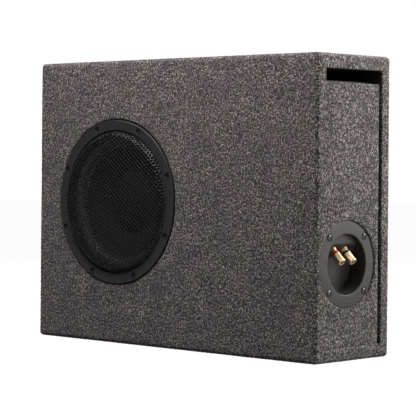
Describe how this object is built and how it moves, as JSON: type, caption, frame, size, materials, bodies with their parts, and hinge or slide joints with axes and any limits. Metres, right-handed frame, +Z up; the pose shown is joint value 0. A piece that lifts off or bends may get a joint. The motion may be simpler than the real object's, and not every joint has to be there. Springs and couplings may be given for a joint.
{
  "type": "car subwoofer enclosure",
  "caption": "Slim upright carpeted car subwoofer box with a grilled round driver, a slot port and a dished terminal cup with screw posts.",
  "frame": {"origin": "centre of the enclosure's underside", "axes": "+X towards the port and terminal end, -Y out of the driver's face, +Z up"},
  "size_m": [0.4833, 0.1475, 0.362],
  "materials": {
    "mdf": "raw fibreboard",
    "carpet": "needle-punched grey speckled carpet",
    "gasket_foam": "closed-cell foam",
    "basket_steel": "black powder coat",
    "surround_rubber": "matte",
    "cone_paper": "black pulp",
    "spider_cloth": "resin-treated cloth",
    "former_aluminium": "satin",
    "copper": "bare copper",
    "motor_steel": "zinc plated",
    "ferrite": "fired ferrite",
    "terminal_fibre": "fibre board",
    "trim_plastic": "satin moulded",
    "grille_steel": "black powder coat",
    "screw_steel": "black oxide",
    "cup_plastic": "satin moulded",
    "gold_plate": "gold plated, polished",
    "tinned_brass": "tinned",
    "red_plastic": "glossy",
    "black_plastic": "glossy",
    "red_jacket": "satin",
    "black_jacket": "satin"
  },
  "bodies": {
    "enclosure": {"front_baffle": "mdf", "back_panel": "mdf", "top_panel": "mdf", "bottom_panel": "mdf", "left_end_panel": "mdf", "right_end_panel": "mdf", "port_shelf": "mdf", "carpet_wrap": "carpet", "carpet_bottom": "carpet", "carpet_left_end": "carpet", "carpet_right_end": "carpet", "woofer_gasket": "gasket_foam", "woofer_basket": "basket_steel", "woofer_surround": "surround_rubber", "woofer_spider": "spider_cloth", "tinsel_lead_red": "copper", "tinsel_lead_black": "copper", "magnet_top_plate": "motor_steel", "magnet_yoke": "motor_steel", "magnet_ring": "ferrite", "woofer_terminal_board": "terminal_fibre", "trim_ring": "trim_plastic", "grille": "grille_steel", "woofer_screw_1": "screw_steel", "woofer_screw_2": "screw_steel", "woofer_screw_3": "screw_steel", "woofer_screw_4": "screw_steel", "woofer_screw_5": "screw_steel", "woofer_screw_6": "screw_steel", "woofer_screw_7": "screw_steel", "woofer_screw_8": "screw_steel", "cup_screw_1": "screw_steel", "cup_screw_2": "screw_steel", "cup_screw_3": "screw_steel", "cup_screw_4": "screw_steel", "terminal_cup": "cup_plastic", "red_post_stud": "gold_plate", "red_post_nut": "gold_plate", "black_post_stud": "gold_plate", "black_post_nut": "gold_plate", "red_post_lug": "tinned_brass", "black_post_lug": "tinned_brass", "red_spade": "tinned_brass", "black_spade": "tinned_brass", "red_wire": "red_jacket", "black_wire": "black_jacket"},
    "cone": {"woofer_cone": "cone_paper", "woofer_dust_cap": "cone_paper", "voice_coil_former": "former_aluminium", "voice_coil": "copper"},
    "red_ring": {"red_post_ring": "red_plastic"},
    "red_cap": {"red_post_cap": "gold_plate"},
    "black_ring": {"black_post_ring": "black_plastic"},
    "black_cap": {"black_post_cap": "gold_plate"}
  },
  "joints": [
    {"name": "cone_travel", "type": "slide", "parent": "enclosure", "child": "cone", "axis": [0, 1, 0], "range_m": [-0.006, 0.006], "stiffness_N_per_m": 2500, "deforming": ["woofer_surround", "woofer_spider", "tinsel_lead_red", "tinsel_lead_black"]},
    {"name": "red_ring_lift", "type": "slide", "parent": "enclosure", "child": "red_ring", "axis": [0.7071, 0, -0.7071], "range_m": [0, 0.005]},
    {"name": "red_cap_screw", "type": "hinge", "parent": "red_ring", "child": "red_cap", "pos_m": [0.2256, -0.0217, 0.1309], "axis": [0.7071, 0, -0.7071], "range_deg": [0, 1801]},
    {"name": "black_ring_lift", "type": "slide", "parent": "enclosure", "child": "black_ring", "axis": [0.7071, 0, -0.7071], "range_m": [0, 0.005]},
    {"name": "black_cap_screw", "type": "hinge", "parent": "black_ring", "child": "black_cap", "pos_m": [0.2256, -0.0011, 0.1309], "axis": [0.7071, 0, -0.7071], "range_deg": [0, 1801]}
  ],
  "couplings": [
    {"joint": "red_cap_screw", "follows": "red_ring_lift", "rad_per_m": 6283.2},
    {"joint": "black_cap_screw", "follows": "black_ring_lift", "rad_per_m": 6283.2}
  ]
}
